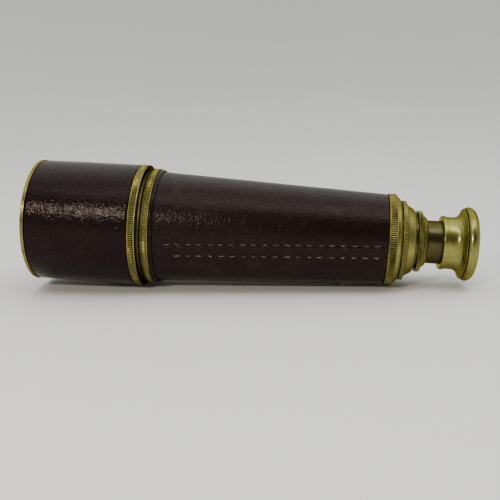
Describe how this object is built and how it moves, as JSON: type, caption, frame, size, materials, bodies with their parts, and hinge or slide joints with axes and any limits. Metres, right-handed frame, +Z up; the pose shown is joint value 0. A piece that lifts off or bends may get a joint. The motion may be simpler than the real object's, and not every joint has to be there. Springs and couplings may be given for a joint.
{
  "type": "hand telescope",
  "caption": "Brass draw telescope, closed, with a leather-covered barrel and sliding sunshade, milled collars, nested draw tubes and a flared eyepiece.",
  "frame": {"origin": "middle of the closed telescope's length, on the horizontal plane that the sunshade's widest rings touch", "axes": "+X along the optical axis towards the eye, +Z up, +Y to the left of someone looking along +X"},
  "size_m": [0.254, 0.0712, 0.0712],
  "materials": {
    "brass": "worn satin, tarnished in the grooves",
    "dark_brass": "blackened, matte",
    "aged_brass": "brown tarnish, satin",
    "leather": "dark oxblood, pebbled and scuffed",
    "glass": "polished"
  },
  "bodies": {
    "barrel": {"barrel_front_ring": "brass", "barrel_collar": "brass", "barrel_front_tube": "dark_brass", "barrel_tube": "dark_brass", "barrel_baffle": "dark_brass", "barrel_guide_sleeve": "dark_brass", "objective_cell": "dark_brass", "objective_retaining_ring": "dark_brass", "barrel_leather": "leather", "barrel_leather_band": "leather", "objective_crown_lens": "glass", "objective_flint_lens": "glass"},
    "sunshade": {"sunshade_front_rim": "brass", "sunshade_rear_ring": "brass", "sunshade_tube": "dark_brass", "sunshade_leather": "leather"},
    "draw_1": {"draw_1_stop_ring": "brass", "draw_1_collar": "brass", "draw_1_guide_sleeve": "dark_brass", "draw_1_tube": "aged_brass"},
    "draw_2": {"draw_2_stop_ring": "brass", "draw_2_collar": "brass", "draw_2_guide_sleeve": "dark_brass", "draw_2_tube": "aged_brass"},
    "draw_3": {"draw_3_stop_ring": "brass", "eyepiece_bell": "brass", "eye_cap": "brass", "erector_tube": "dark_brass", "erector_front_ring": "dark_brass", "erector_diaphragm": "dark_brass", "erector_rear_ring": "dark_brass", "eyepiece_tube": "dark_brass", "field_lens_ring": "dark_brass", "field_stop": "dark_brass", "eye_lens_ring": "dark_brass", "draw_3_tube": "aged_brass", "erector_front_lens": "glass", "erector_rear_lens": "glass", "field_lens": "glass", "eye_lens": "glass"}
  },
  "joints": [
    {"name": "sunshade_slide", "type": "slide", "parent": "barrel", "child": "sunshade", "axis": [-1, 0, 0], "range_m": [0, 0.044]},
    {"name": "draw_1_slide", "type": "slide", "parent": "barrel", "child": "draw_1", "axis": [1, 0, 0], "range_m": [0, 0.155]},
    {"name": "draw_2_slide", "type": "slide", "parent": "draw_1", "child": "draw_2", "axis": [1, 0, 0], "range_m": [0, 0.155]},
    {"name": "draw_3_slide", "type": "slide", "parent": "draw_2", "child": "draw_3", "axis": [1, 0, 0], "range_m": [-0.008, 0.155]}
  ]
}
